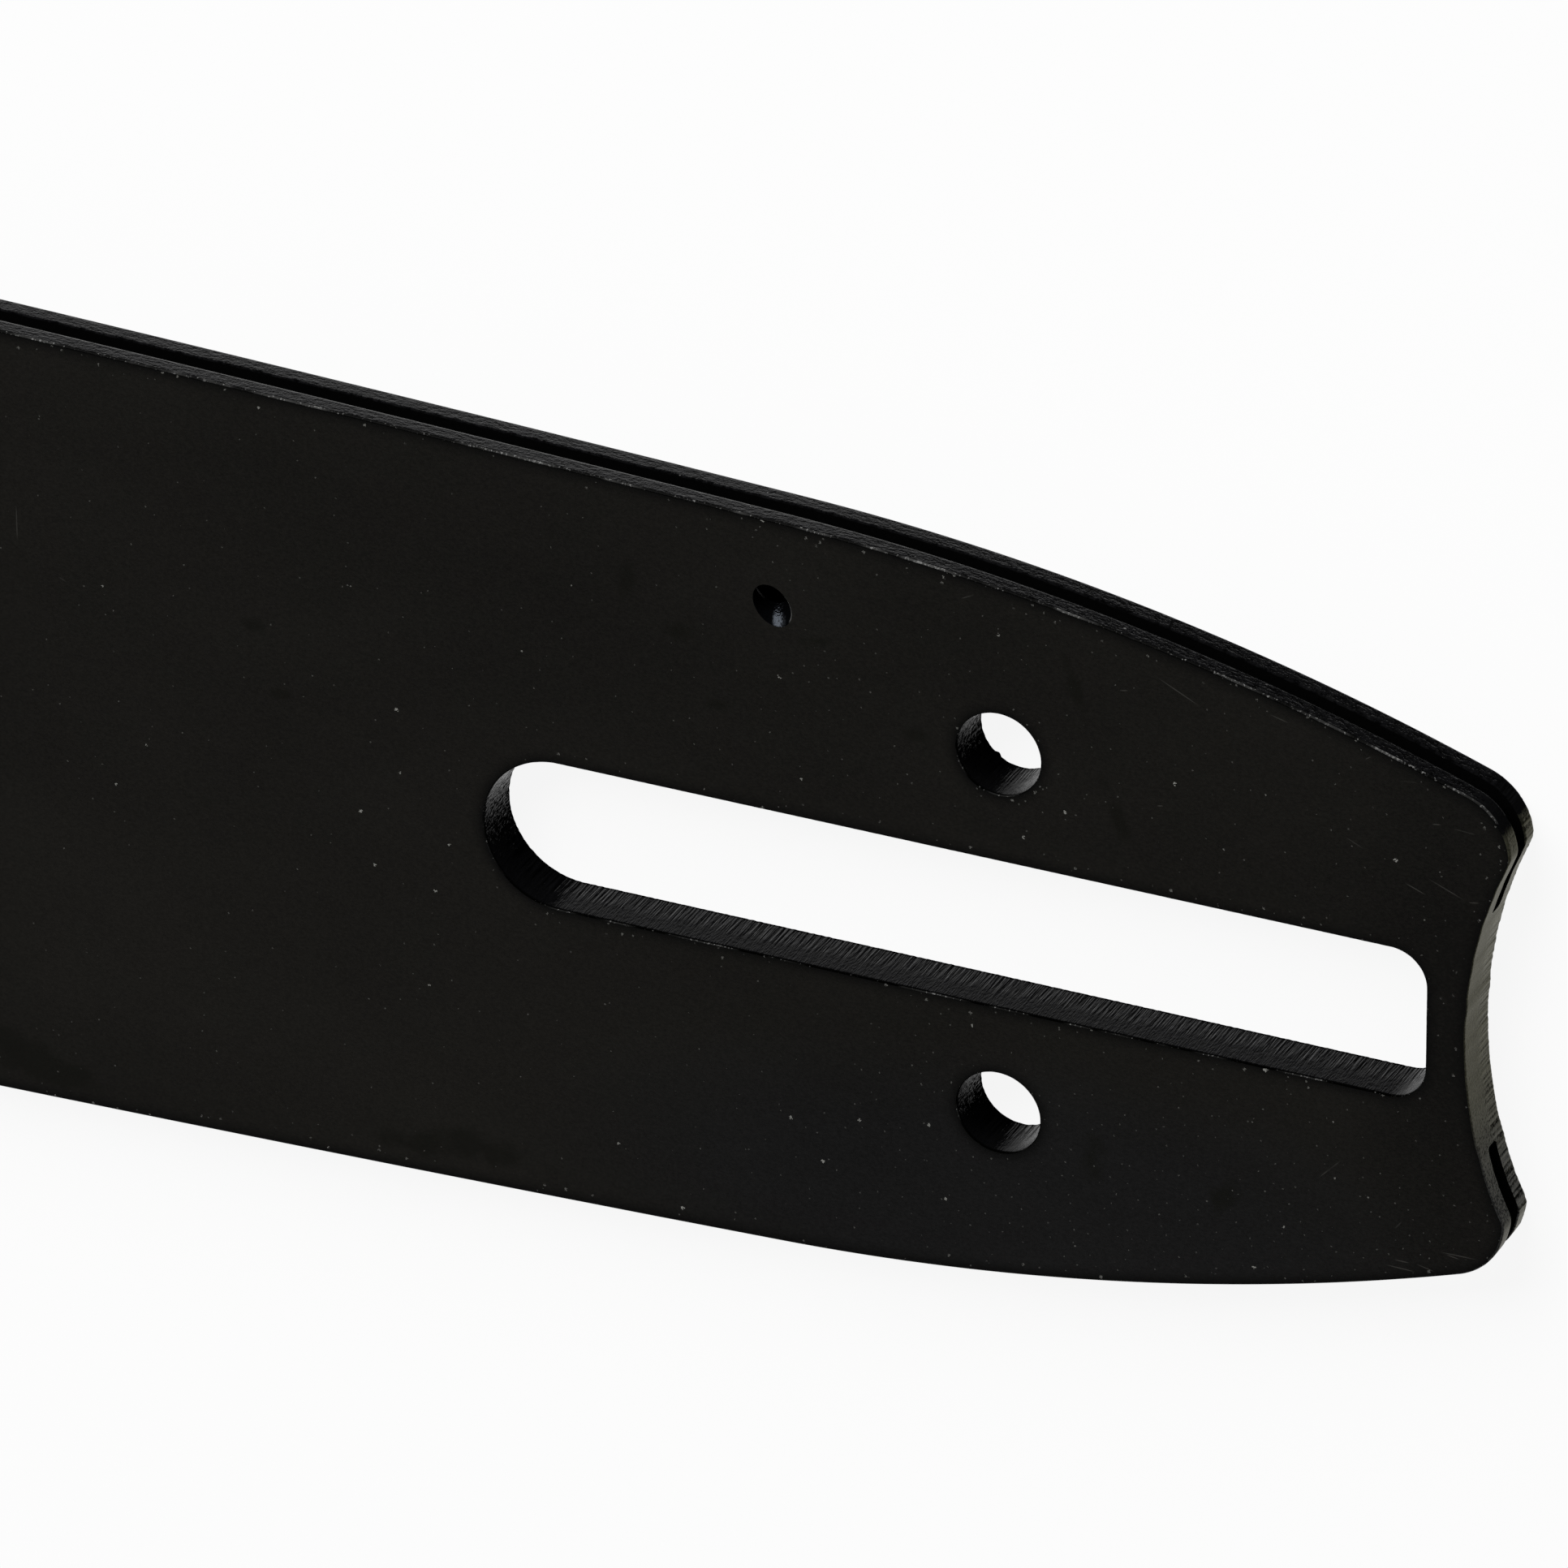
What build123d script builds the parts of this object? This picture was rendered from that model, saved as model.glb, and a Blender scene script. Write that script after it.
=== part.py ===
"""Solid chainsaw guide bar, lying flat on one face.

The origin is where the stud slot's centre line crosses the line through the two adjuster holes, on the
lower face. X runs along the bar, with the tail at +X and the nose at -X. Z goes through its thickness.
"""

import os
from math import cos, isclose, radians, sin, sqrt

from build123d import *

# Plate
bar_length = 480.0
thickness = 4.4
edge_break = 0.15

# Rails: a long crowned arc from the nose to the shoulder, then a tighter arc down to the tail
nose_radius = 29.0
rail_radius = 4600.0
shoulder_width = 58.9
shoulder_setback = 17.2
taper_radius = 183.0

# Tail: two rounded horns with a hollow arc between them
tail_reach = 38.9
horn_radius = 5.0
hollow_radius = 36.0
hollow_depth = 3.2

# Chain groove in the edge
groove_width = 1.4
groove_depth = 8.8
groove_floor_radius = 0.3

# Stud slot: round towards the nose, square with rounded corners towards the tail
slot_width = 12.0
slot_nose_reach = 40.45
slot_tail_reach = 32.77
slot_corner_radius = 2.8

# Adjuster holes
adjuster_hole_diameter = 6.5
adjuster_hole_spacing = 29.2

# Oil holes: one from each face, slanted towards the rail and the nose until they open into the groove
oil_hole_diameter = 2.6
oil_hole_setback = 17.45
oil_hole_offset = 22.65
oil_hole_tilt = 39.0
oil_hole_heading = 51.5

# Room that the groove's cutter has around the bar
cutter_room = 5.0


def lower_crossing(centre_a, radius_a, centre_b, radius_b):
    """The lower of the two points where two circles cross."""
    along = (centre_b - centre_a).normalized()
    distance = (centre_b - centre_a).length
    reach = (radius_a**2 - radius_b**2 + distance**2) / (2 * distance)
    aside = sqrt(radius_a**2 - reach**2)
    crossings = [centre_a + along * reach + Vector(-along.Y, along.X) * aside * side for side in (-1, 1)]
    return min(crossings, key=lambda point: point.Y)


# Centres of the upper edge's arcs: the rail is tangent to the nose, and the taper to the rail
nose_centre = Vector(tail_reach - bar_length + nose_radius, 0)
shoulder = Vector(-shoulder_setback, shoulder_width / 2)
rail_centre = lower_crossing(nose_centre, rail_radius - nose_radius, shoulder, rail_radius)
nose_outward = (nose_centre - rail_centre).normalized()
shoulder_outward = (shoulder - rail_centre).normalized()
taper_centre = shoulder - shoulder_outward * taper_radius

# Each horn is tangent to its taper and to the bar's end
horn_x = tail_reach - horn_radius
horn_rise = sqrt((taper_radius - horn_radius) ** 2 - (horn_x - taper_centre.X) ** 2)
horn_centre = Vector(horn_x, taper_centre.Y + horn_rise)
horn_outward = (horn_centre - taper_centre).normalized()

# Arc ends on the upper edge of the bar
nose_tip = nose_centre - Vector(nose_radius, 0)
nose_end = nose_centre + nose_outward * nose_radius
horn_start = horn_centre + horn_outward * horn_radius
horn_end = horn_centre + Vector(horn_radius, 0)

# The same arcs at the groove's floor, which runs straight out through the tail
floor_nose_radius = nose_radius - groove_depth
floor_rail_radius = rail_radius - groove_depth
floor_taper_radius = taper_radius - groove_depth
floor_nose_tip = nose_centre - Vector(floor_nose_radius, 0)
floor_nose_end = nose_centre + nose_outward * floor_nose_radius
floor_shoulder = shoulder - shoulder_outward * groove_depth
floor_end_x = tail_reach + cutter_room
floor_rise = sqrt(floor_taper_radius**2 - (floor_end_x - taper_centre.X) ** 2)
floor_end = Vector(floor_end_x, taper_centre.Y + floor_rise)

edge_radii = (nose_radius, rail_radius, taper_radius, horn_radius)

mid_height = thickness / 2
slot_end_radius = slot_width / 2
slot_length = slot_nose_reach + slot_tail_reach
tilt = radians(oil_hole_tilt)
heading = radians(oil_hole_heading)
oil_depth = mid_height / cos(tilt)
oil_mouth_length = oil_hole_diameter / 2 / cos(tilt)

# The cutter that leaves the chain groove: a plate with a hole in the form of the groove's floor
with BuildPart() as groove_cutter:
    with BuildSketch(Plane.XY.offset(mid_height)):
        with Locations((tail_reach - bar_length / 2, 0)):
            Rectangle(bar_length + 4 * cutter_room, shoulder_width * 2)
        with BuildLine():
            RadiusArc(floor_nose_tip, floor_nose_end, floor_nose_radius)
            RadiusArc(floor_nose_end, floor_shoulder, floor_rail_radius)
            RadiusArc(floor_shoulder, floor_end, floor_taper_radius)
            Line(floor_end, (floor_end_x, 0))
            mirror(about=Plane.XZ)
        make_face(mode=Mode.SUBTRACT)
    extrude(amount=groove_width / 2, both=True)
    hole_rims = [face.inner_wires().edges() for face in groove_cutter.faces().filter_by(Plane.XY)]
    fillet(hole_rims[0] + hole_rims[1], groove_floor_radius)

with BuildPart() as guide_bar:
    # The plate's outline
    with BuildSketch(Plane.XY):
        with BuildLine():
            RadiusArc(nose_tip, nose_end, nose_radius)
            RadiusArc(nose_end, shoulder, rail_radius)
            RadiusArc(shoulder, horn_start, taper_radius)
            RadiusArc(horn_start, horn_end, horn_radius)
            Line(horn_end, (tail_reach, 0))
            mirror(about=Plane.XZ)
        make_face()
        with Locations((tail_reach - hollow_depth + hollow_radius, 0)):
            Circle(hollow_radius, mode=Mode.SUBTRACT)
    extrude(amount=thickness)

    # The chain groove, all round the edge and out through the tail
    add(groove_cutter.part, mode=Mode.SUBTRACT)

    # The broken edges of both faces and of the groove's mouth
    level_faces = guide_bar.faces().filter_by(Plane.XY).sort_by(Axis.Z)
    face_edges = level_faces[0].outer_wire().edges() + level_faces[-1].outer_wire().edges()
    wall_arcs = level_faces[1:-1].edges().filter_by(GeomType.CIRCLE)
    mouth_edges = wall_arcs.filter_by(lambda arc: any(isclose(arc.radius, radius) for radius in edge_radii))
    chamfer(face_edges + mouth_edges, edge_break)

    # The stud slot and the adjuster holes
    with BuildSketch(Plane.XY):
        with Locations(((slot_tail_reach - slot_nose_reach + slot_end_radius) / 2, 0)):
            straight = Rectangle(slot_length - slot_end_radius, slot_width)
        fillet(straight.vertices().group_by(Axis.X)[-1], slot_corner_radius)
        with Locations((slot_end_radius - slot_nose_reach, 0)):
            Circle(slot_end_radius)
        with GridLocations(0, adjuster_hole_spacing, 1, 2):
            Circle(adjuster_hole_diameter / 2)
    extrude(amount=thickness, mode=Mode.SUBTRACT)

    # The oil holes, the second one turned half round the bar's length from the first
    for side, level in ((1, thickness), (-1, 0)):
        slant = Vector(-cos(heading) * sin(tilt), side * sin(heading) * sin(tilt), -side * cos(tilt))
        with BuildSketch(Plane.XY.offset(level)):
            with Locations(Location((-oil_hole_setback, side * oil_hole_offset), -side * oil_hole_heading)):
                Ellipse(oil_mouth_length, oil_hole_diameter / 2)
        extrude(amount=oil_depth, dir=slant, mode=Mode.SUBTRACT)

guide_bar.part.label = "guide_bar"

os.makedirs("parts", exist_ok=True)
export_step(guide_bar.part, "parts/guide_bar.step")
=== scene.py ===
"""Chainsaw guide bar, dressed: its finished form, the finish of its surfaces and a small studio stage.

All sizes are in metres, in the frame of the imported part: X along the bar with the tail at +X and the nose
at -X, Z up through its thickness. The bar lies flat on its lower face.
"""

from math import atan2, cos, pi, radians, sin, sqrt, tan

import bmesh
import bpy
from bpy.props import FloatProperty, FloatVectorProperty, PointerProperty
from mathutils import Matrix, Quaternion, Vector, noise


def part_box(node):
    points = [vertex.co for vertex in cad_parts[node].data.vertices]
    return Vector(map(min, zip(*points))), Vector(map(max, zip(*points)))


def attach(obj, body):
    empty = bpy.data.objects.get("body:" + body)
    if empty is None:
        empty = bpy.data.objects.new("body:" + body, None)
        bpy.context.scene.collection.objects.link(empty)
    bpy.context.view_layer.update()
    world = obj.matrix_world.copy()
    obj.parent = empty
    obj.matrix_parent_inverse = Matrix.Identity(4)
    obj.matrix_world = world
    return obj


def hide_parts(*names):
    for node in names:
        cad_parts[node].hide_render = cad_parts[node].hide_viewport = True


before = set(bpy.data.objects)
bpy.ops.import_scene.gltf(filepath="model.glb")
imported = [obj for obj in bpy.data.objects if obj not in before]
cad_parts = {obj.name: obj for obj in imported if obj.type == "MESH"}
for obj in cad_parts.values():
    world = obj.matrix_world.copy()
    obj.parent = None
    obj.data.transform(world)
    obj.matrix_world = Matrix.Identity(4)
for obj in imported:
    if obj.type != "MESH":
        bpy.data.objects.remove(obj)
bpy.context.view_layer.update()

bl_info = {
    "name": "Chainsaw Guide Bar",
    "version": (1, 0, 0),
    "blender": (4, 5, 0),
    "location": "3D View > Sidebar > Guide Bar",
    "description": "Models a blackened steel chainsaw guide bar and sets it on a studio stage",
    "category": "Object",
}

NODE = "guide_bar"
BAR_LOW, BAR_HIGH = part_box(NODE)

# Points closer than this are one point
WELD = 4e-6

# How finely each stretch of the form is divided
NOSE_STEPS = 44
RAIL_STEPS = 40
TAPER_STEPS = 96
HORN_STEPS = 60
TIP_STEPS = 24
GATE_STEPS = 84
GATE_END_STEPS = 6
HOLLOW_STEPS = 170
SLOT_END_STEPS = 80
SLOT_SIDE_STEPS = 520
SLOT_CORNER_STEPS = 38
SLOT_TAIL_STEPS = 28
ADJUSTER_STEPS = 176
OIL_STEPS = 56
WALL_ROWS = 8
GROOVE_ROWS = 3
ROUND_STEPS = 3
LIP_STEPS = 6

# From this far past the groove's floor, all loops have the same points in the hollow
GATE_CLEARANCE = 10 * GATE_END_STEPS * WELD

# The lines that the laser leaves: their depth near the lower face, their width and their run. Then, for the
# openings and the tail, their depth near the upper face and the share of the thickness at which they deepen
STRIA_DEEP = 0.000042
STRIA_WIDTH = 0.0003
STRIA_RUN = 0.009
STRIA_IN_OPENINGS = (0.000008, 0.6)
STRIA_AT_TAIL = (0.000003, 0.42)

# How far round the horns the finish of the tail runs
TAIL_RUN = 0.003

# The uneven rounding of the horns
FACET_DEPTH = 0.00007
FACET_WIDTH = 0.0015

# A burr on the lower edge of one adjuster hole
BURR_PLACE = Vector((-0.0019, 0.01205, 0.0))
BURR_SIZE = 0.00032
BURR_REACH = 0.00025

# Edges between faces at a wider angle than this look sharp
SHARP = radians(38)

# Dark patches on the faces: X, Y, turn in degrees, half length and half width
STAINS = (
    (-0.0587, 0.0119, 0, 0.0022, 0.0012),
    (-0.0565, 0.0068, 5, 0.0016, 0.0008),
    (-0.0220, 0.0137, 8, 0.0024, 0.0008),
    (-0.0138, 0.0206, 10, 0.0030, 0.0009),
    (-0.0063, 0.0148, 8, 0.0020, 0.0010),
    (-0.0406, -0.0274, -4, 0.0075, 0.0024),
    (-0.0791, -0.0280, -6, 0.0070, 0.0030),
    (0.0073, -0.0168, 80, 0.0034, 0.0020),
    (0.0176, -0.0173, 70, 0.0026, 0.0018),
    (0.0059, 0.0211, 110, 0.0050, 0.0009),
    (0.0090, 0.0120, 115, 0.0042, 0.0012),
    (-0.0287, 0.0225, 80, 0.0024, 0.0012),
    (-0.0246, 0.0190, 20, 0.0022, 0.0013),
    (-0.0745, -0.0295, -3, 0.0080, 0.0016),
    (-0.0470, -0.0285, -2, 0.0060, 0.0016),
)

# Broad areas of painted light and shade, where the coat is painted paler or darker: X, Y, turn in degrees,
# half length, half width and change
PAINTED_LIGHT_AREAS = (
    (-0.0560, -0.0190, 0, 0.0480, 0.0170, 0.26),
    (0.0350, 0.0000, 90, 0.0260, 0.0090, -0.55),
    (-0.0330, 0.0210, 0, 0.0500, 0.0130, -0.14),
    (0.0050, 0.0090, 0, 0.0400, 0.0060, -0.12),
)

# Where the coat is greyer: X, Y, turn in degrees, half length and half width
GREY_AREA = (0.0000, -0.0220, 4, 0.0420, 0.0140)

# Dust thickens between these X towards the tail, and again in this area: X, Y, turn in degrees, half length
# and half width
DUST_RISE = (-0.04, 0.0)
DUST_AREA = (0.0160, -0.0210, 0, 0.0340, 0.0140)

# Edges that are rubbed bare: X, Y, turn in degrees, half length and half width
RUBBED_EDGES = (
    (0.0318, 0.0206, -20, 0.0042, 0.0020),
    (0.0364, -0.0180, 60, 0.0035, 0.0020),
)

# Where oil has left the walls of the oil holes glossy: X, Y, turn in degrees, half length and half width
OIL_RUNS = (
    (-0.01711, 0.02153, -51, 0.0013, 0.0006),
    (-0.01711, -0.02153, 51, 0.0013, 0.0006),
)

# The upper oil hole's rim is paler down to this depth where the sum of X and Y passes these values. The edge
# where it meets the groove is paler where its height and its X fall below these values
RIM_DEPTH = 0.00006
RIM_SIDE = (0.0053, 0.0058)
INNER_EDGE = (0.00310, 0.00298)
INNER_SIDE = (-0.0186, -0.0192)

# A mark with this half height reaches from one face to the other unchanged
ANY_HEIGHT = 100.0

# Fine scratches on the faces: X, Y, turn in degrees and half length
SCRATCH_WIDTH = 0.00006
SCRATCHES = (
    (0.0311, 0.0195, 6, 0.0008),
    (0.0354, 0.0165, -3, 0.0010),
    (0.0341, 0.0116, -22, 0.0017),
    (0.0362, 0.0110, 10, 0.0005),
    (0.0318, 0.0111, -21, 0.0010),
    (0.0272, 0.0137, -25, 0.0009),
    (0.0281, 0.0207, 33, 0.0003),
    (0.0333, 0.0166, 8, 0.0004),
    (0.0356, -0.0178, 1, 0.0017),
    (0.0311, -0.0199, -1, 0.0013),
    (0.0312, -0.0193, 0, 0.0007),
    (0.0330, -0.0194, -12, 0.0008),
    (0.0309, -0.0164, 52, 0.0005),
    (0.0351, -0.0180, -8, 0.0006),
    (0.0256, -0.0131, 47, 0.0014),
    (0.0138, 0.0227, -26, 0.0022),
    (0.0214, 0.0223, -14, 0.0009),
    (0.0096, 0.0219, 13, 0.0004),
    (0.0124, 0.0133, 13, 0.0003),
    (-0.0024, 0.0267, 27, 0.0006),
    (-0.0739, 0.0123, -24, 0.0004),
    (-0.0775, 0.0162, 90, 0.0017),
)

# Between which X the rails turn from ground to cut at the horns, their painted lip highlight fades, and they
# get dull
HORN_CUT = (0.0355, 0.0375)
LIP_HIGHLIGHT_FADES = (-0.025, 0.01)
RAIL_DULLS = (-0.02, 0.03)

# Between which Y the tail turns darker and greyer, and turns black on one horn, and how far the border of the
# black frays
TAIL_DARKENS = (-0.004, -0.012)
TAIL_BLACK = (0.0165, 0.0171)
TAIL_FRAY = 0.0009

# Shares of the thickness between which a wall's lower part begins, and between which its upper half begins
LOW_IN_OPENINGS = (0.62, 0.4)
LOW_AT_TAIL = (0.55, 0.3)
UPPER_HALF = (0.5, 0.6)

# Sizes of grains, clouds and patches, and how far those of the coat are drawn out along the bar
COAT_GRAIN = 0.00016
COAT_GRAIN_DRAW = (1.5, 1, 1)
COAT_CLOUD = 0.009
COAT_CLOUD_DRAW = (2, 1, 1)
STAIN_PATCH = 0.002
WORN_DASHES = 0.0035
WORN_BEADS = 0.00019
ARRIS_GRAIN = 0.0002
RAIL_MOTTLE = (0.0007, 0.0004, 0.0003)
RAIL_PITS = 0.0002
GROOVE_GRAIN = 0.0003
TAIL_GRAIN = 0.00018
BORE_GRAIN = 0.0002

# Upright lines on the cut walls, each kind with its width and its run
CUT_LINE = (0.0002, 0.004)
CUT_GRAIN = (0.00012, 0.0005)
CRUST_SCALE = (0.0002, 0.0004)
TAIL_TEETH = (0.00024, 0.006)

# Specks, each kind with its spacing and its radius
DUST = (0.0036, 0.00013)
FINE_DUST = (0.0014, 0.00006)
CHIPS = (0.0007, 0.00011)
RAIL_DOTS = (0.0008, 0.00008)

# Heights of the relief in the finishes
COAT_RELIEF = 0.000008
ARRIS_RELIEF = 0.00002
RAIL_RELIEF = 0.00009
GROOVE_RELIEF = 0.00001
CUT_RELIEF = 0.00018
TAIL_RELIEF = 0.00005
BORE_RELIEF = 0.00005

# The darkest and the palest tone of each mottled finish, as shares of its colour
COAT_TONES = (0.45, 1.55)
RAIL_TONES = (0.3, 1.7)
GROOVE_TONES = (0.5, 1.5)
CUT_TONES = (0.4, 1.6)
TAIL_TONES = (0.35, 1.65)
DARKER_TAIL_TONES = (0.1, 1.3)
BORE_TONES = (0.5, 1.5)

# How much each surface reflects
FACE_GLOSS = {"IOR": 1.2}
ARRIS_GLOSS = {"IOR": 1.09}
GROOVE_GLOSS = {"IOR": 1.05}
WALL_GLOSS = {"IOR": 1.3}
TAIL_GLOSS = {"Metallic": 1.0, "Specular Tint": (1.0, 0.985, 0.9, 1.0)}
BORE_GLOSS = {"IOR": 1.3, "Specular Tint": (0.75, 0.85, 1.0, 1.0)}

# The slants over which the sheen and the full shine of the walls come up
SHEEN_SLANT = (0.45, 0.55)
SHINE_SLANT = (0.58, 0.78)

# Half the side of the floor, its gap under the bar, and between which heights the studio dims
FLOOR_REACH = 4.0
FLOOR_GAP = 0.0001
STUDIO_DIMS = (0.15, 0.6)

# The finishes, in the order of the bar's material slots
FACE, ARRIS, RAIL, GROOVE, CUT, TAIL, BORE = range(7)


def length(name, description, default):
    return FloatProperty(
        name=name, description=description, default=default, min=0.0, unit="LENGTH", precision=5
    )


def angle(name, description, degrees):
    return FloatProperty(name=name, description=description, default=radians(degrees), unit="ROTATION")


def colour(name, description, default):
    return FloatVectorProperty(
        name=name, description=description, default=default, size=3, min=0.0, max=1.0, subtype="COLOR"
    )


class BarSizes(bpy.types.PropertyGroup):
    """Sizes of the guide bar."""

    thickness: length("Thickness", "Between the two faces", BAR_HIGH.z - BAR_LOW.z)
    tail_reach: length("Tail reach", "From the adjuster holes to the ends of the horns", 0.0389)
    nose_reach: length("Nose reach", "From the adjuster holes to the tip of the nose", 0.4411)
    arris: length("Arris", "Rounding of the outer edges of both faces", 0.00015)
    lip: length("Lip", "Rounding of the edges at the groove's mouth", 0.00012)
    rim: length("Rim", "Broken edge of the slot and the holes", 0.00006)
    shade_band: length("Shade band", "Width of the darker band along the edges of the faces", 0.0013)
    nose_radius: length("Nose radius", "Round end of the bar", 0.029)
    rail_radius: length("Rail radius", "Crown of the long rails", 4.6)
    shoulder_width: length("Shoulder width", "Width of the bar where the rails begin to taper", 0.0589)
    shoulder_setback: length("Shoulder setback", "From the adjuster holes to the shoulder", 0.0172)
    taper_radius: length("Taper radius", "Arc of each rail from the shoulder to its horn", 0.183)
    horn_radius: length("Horn radius", "Rounding of the two horns at the tail", 0.005)
    tip_radius: length("Tip radius", "Rounding where the horns meet the hollow", 0.0015)
    hollow_radius: length("Hollow radius", "Arc of the hollow between the horns", 0.036)
    hollow_depth: length("Hollow depth", "From the ends of the horns to the bottom of the hollow", 0.0032)
    groove_width: length("Groove width", "Chain groove, between its walls", 0.0014)
    groove_depth: length("Groove depth", "Chain groove, from the rails to its floor", 0.0088)
    groove_fillet: length("Groove fillet", "Rounding along both sides of the groove's floor", 0.0003)
    slot_width: length("Slot width", "Stud slot, across the bar", 0.012)
    slot_nose_reach: length("Slot nose reach", "From the adjuster holes to the slot's round end", 0.04045)
    slot_tail_reach: length("Slot tail reach", "From the adjuster holes to the slot's square end", 0.03277)
    slot_corner: length("Slot corner", "Corner radius at the slot's square end", 0.0028)
    adjuster_diameter: length("Adjuster hole", "Diameter of the two adjuster holes", 0.0065)
    adjuster_spacing: length("Adjuster spacing", "Between the centres of the adjuster holes", 0.0292)
    oil_diameter: length("Oil hole", "Diameter of the oil holes", 0.0026)
    oil_setback: length("Oil setback", "From the adjuster holes to the oil holes", 0.01745)
    oil_offset: length("Oil offset", "From the middle of the bar to the oil holes", 0.02265)
    oil_tilt: angle("Oil tilt", "Slant of the oil holes from upright", 39.0)
    oil_heading: angle("Oil heading", "Way that the oil holes slant, from the bar's length", 51.5)


class BarFinish(bpy.types.PropertyGroup):
    """Colours of the guide bar's surfaces."""

    coat: colour("Coat", "Blackened faces", (0.0064, 0.0059, 0.0048))
    grey_coat: colour("Grey coat", "Blackened faces where they are greyer", (0.0061, 0.0060, 0.0060))
    shade: colour("Shade", "Faces close to their edges", (0.0004, 0.0004, 0.0003))
    stain: colour("Stain", "Darker patches on the faces", (0.0030, 0.0030, 0.0018))
    dust: colour("Dust", "Fine specks on the faces", (0.20, 0.20, 0.185))
    scratch: colour("Scratch", "Fine scratches on the faces", (0.030, 0.029, 0.026))
    rail: colour("Rail", "Ground rails", (0.0026, 0.0026, 0.0028))
    # The edge colour also stands in for painted highlights along the arrises and rims
    edge: colour("Edge", "Arrises where the black is thin", (0.036, 0.036, 0.035))
    # Partly steel that shows through, partly painted highlight on edges and lips
    worn_and_highlight: colour("Worn", "Steel that shows along the arrises", (0.12, 0.12, 0.117))
    groove: colour("Groove", "Inside of the chain groove", (0.0010, 0.0010, 0.0010))
    cut: colour("Cut", "Walls of the slot and the holes", (0.0022, 0.0022, 0.0024))
    tail: colour("Tail", "Wall of the hollow at the tail", (0.028, 0.0275, 0.019))
    bore: colour("Bore", "Walls of the oil holes", (0.0012, 0.0013, 0.0016))


class StageSettings(bpy.types.PropertyGroup):
    """Camera, floor and light."""

    view_azimuth: angle("View azimuth", "Way round the bar that the camera stands", 143.0507)
    view_elevation: angle("View elevation", "Height of the camera above the floor", 52.3243)
    view_roll: angle("View roll", "Turn of the camera about its line of sight", -136.8869)
    view_distance: length("View distance", "From the camera to the point that it looks at", 1.08207)
    view_target: FloatVectorProperty(
        name="View target",
        description="Point on the upper face that the camera looks at",
        default=(-0.016635, 0.008442, 0.0044),
        unit="LENGTH",
    )
    lens: FloatProperty(
        name="Lens", description="Focal length in millimetres", default=350.312, unit="CAMERA"
    )
    sensor_width: FloatProperty(
        name="Sensor width", description="Width of the sensor in millimetres", default=36.0, unit="CAMERA"
    )
    floor: colour("Floor", "White sweep that the bar lies on", (0.9, 0.9, 0.9))
    floor_evenness: FloatProperty(
        name="Floor evenness",
        description="How little of the bar's shadow the floor shows",
        default=0.9,
        subtype="FACTOR",
        min=0.0,
        max=1.0,
    )
    horizon: colour("Horizon", "Studio low down", (1.0, 1.0, 1.0))
    overhead: colour("Overhead", "Studio overhead", (0.1, 0.1, 0.1))
    softbox_way: FloatVectorProperty(
        name="Softbox way",
        description="Direction from the bar to the softbox",
        default=(-0.35, 0.8, 0.55),
        subtype="XYZ",
    )
    softbox_distance: length("Softbox distance", "From the bar to the softbox", 1.6)
    softbox_size: length("Softbox size", "Side of the square softbox", 1.3)
    softbox_power: FloatProperty(
        name="Softbox power", description="Light that the softbox gives", default=36.0, unit="POWER"
    )


def bearing(centre, point):
    """The direction from one point to another, as an angle from X."""
    return atan2(point.y - centre.y, point.x - centre.x)


def crossings(centre_a, radius_a, centre_b, radius_b):
    """The two points where two circles cross, the lower one first."""
    apart = (centre_b - centre_a).length
    along = (centre_b - centre_a) / apart
    reach = (radius_a**2 - radius_b**2 + apart**2) / (2 * apart)
    aside = sqrt(radius_a**2 - reach**2)
    points = [centre_a + along * reach + Vector((-along.y, along.x)) * aside * side for side in (-1, 1)]
    return sorted(points, key=lambda point: point.y)


class BarForm:
    """The arcs of the bar's edge, worked out from its sizes."""

    def __init__(self, sizes):
        self.sizes = sizes
        self.nose = Vector((sizes.nose_radius - sizes.nose_reach, 0))
        self.shoulder = Vector((-sizes.shoulder_setback, sizes.shoulder_width / 2))
        nose_to_rail = sizes.rail_radius - sizes.nose_radius
        self.rail = crossings(self.nose, nose_to_rail, self.shoulder, sizes.rail_radius)[0]
        shoulder_outward = (self.shoulder - self.rail).normalized()
        self.taper = self.shoulder - shoulder_outward * sizes.taper_radius
        horn_x = sizes.tail_reach - sizes.horn_radius
        horn_rise = sqrt((sizes.taper_radius - sizes.horn_radius) ** 2 - (horn_x - self.taper.x) ** 2)
        self.horn = Vector((horn_x, self.taper.y + horn_rise))
        self.hollow = Vector((sizes.tail_reach - sizes.hollow_depth + sizes.hollow_radius, 0))

    def tip(self, inset, hollow_inset):
        """The centre of the rounding where the edge of a horn meets the hollow."""
        from_horn = self.sizes.horn_radius - inset - self.sizes.tip_radius
        from_hollow = self.sizes.hollow_radius + hollow_inset + self.sizes.tip_radius
        return crossings(self.horn, from_horn, self.hollow, from_hollow)[1]

    def gate(self, inset):
        """Where the groove's floor comes out in the hollow."""
        from_taper = self.sizes.taper_radius - inset
        return crossings(self.taper, from_taper, self.hollow, self.sizes.hollow_radius)[1]

    def draw_hollow(self, pen):
        """Draws the hollow from a gate to its middle."""
        past_floor = self.gate(self.sizes.groove_depth + GATE_CLEARANCE)
        pen.arc(self.hollow, bearing(self.hollow, past_floor), GATE_END_STEPS)
        pen.arc(self.hollow, pi, HOLLOW_STEPS)


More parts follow.
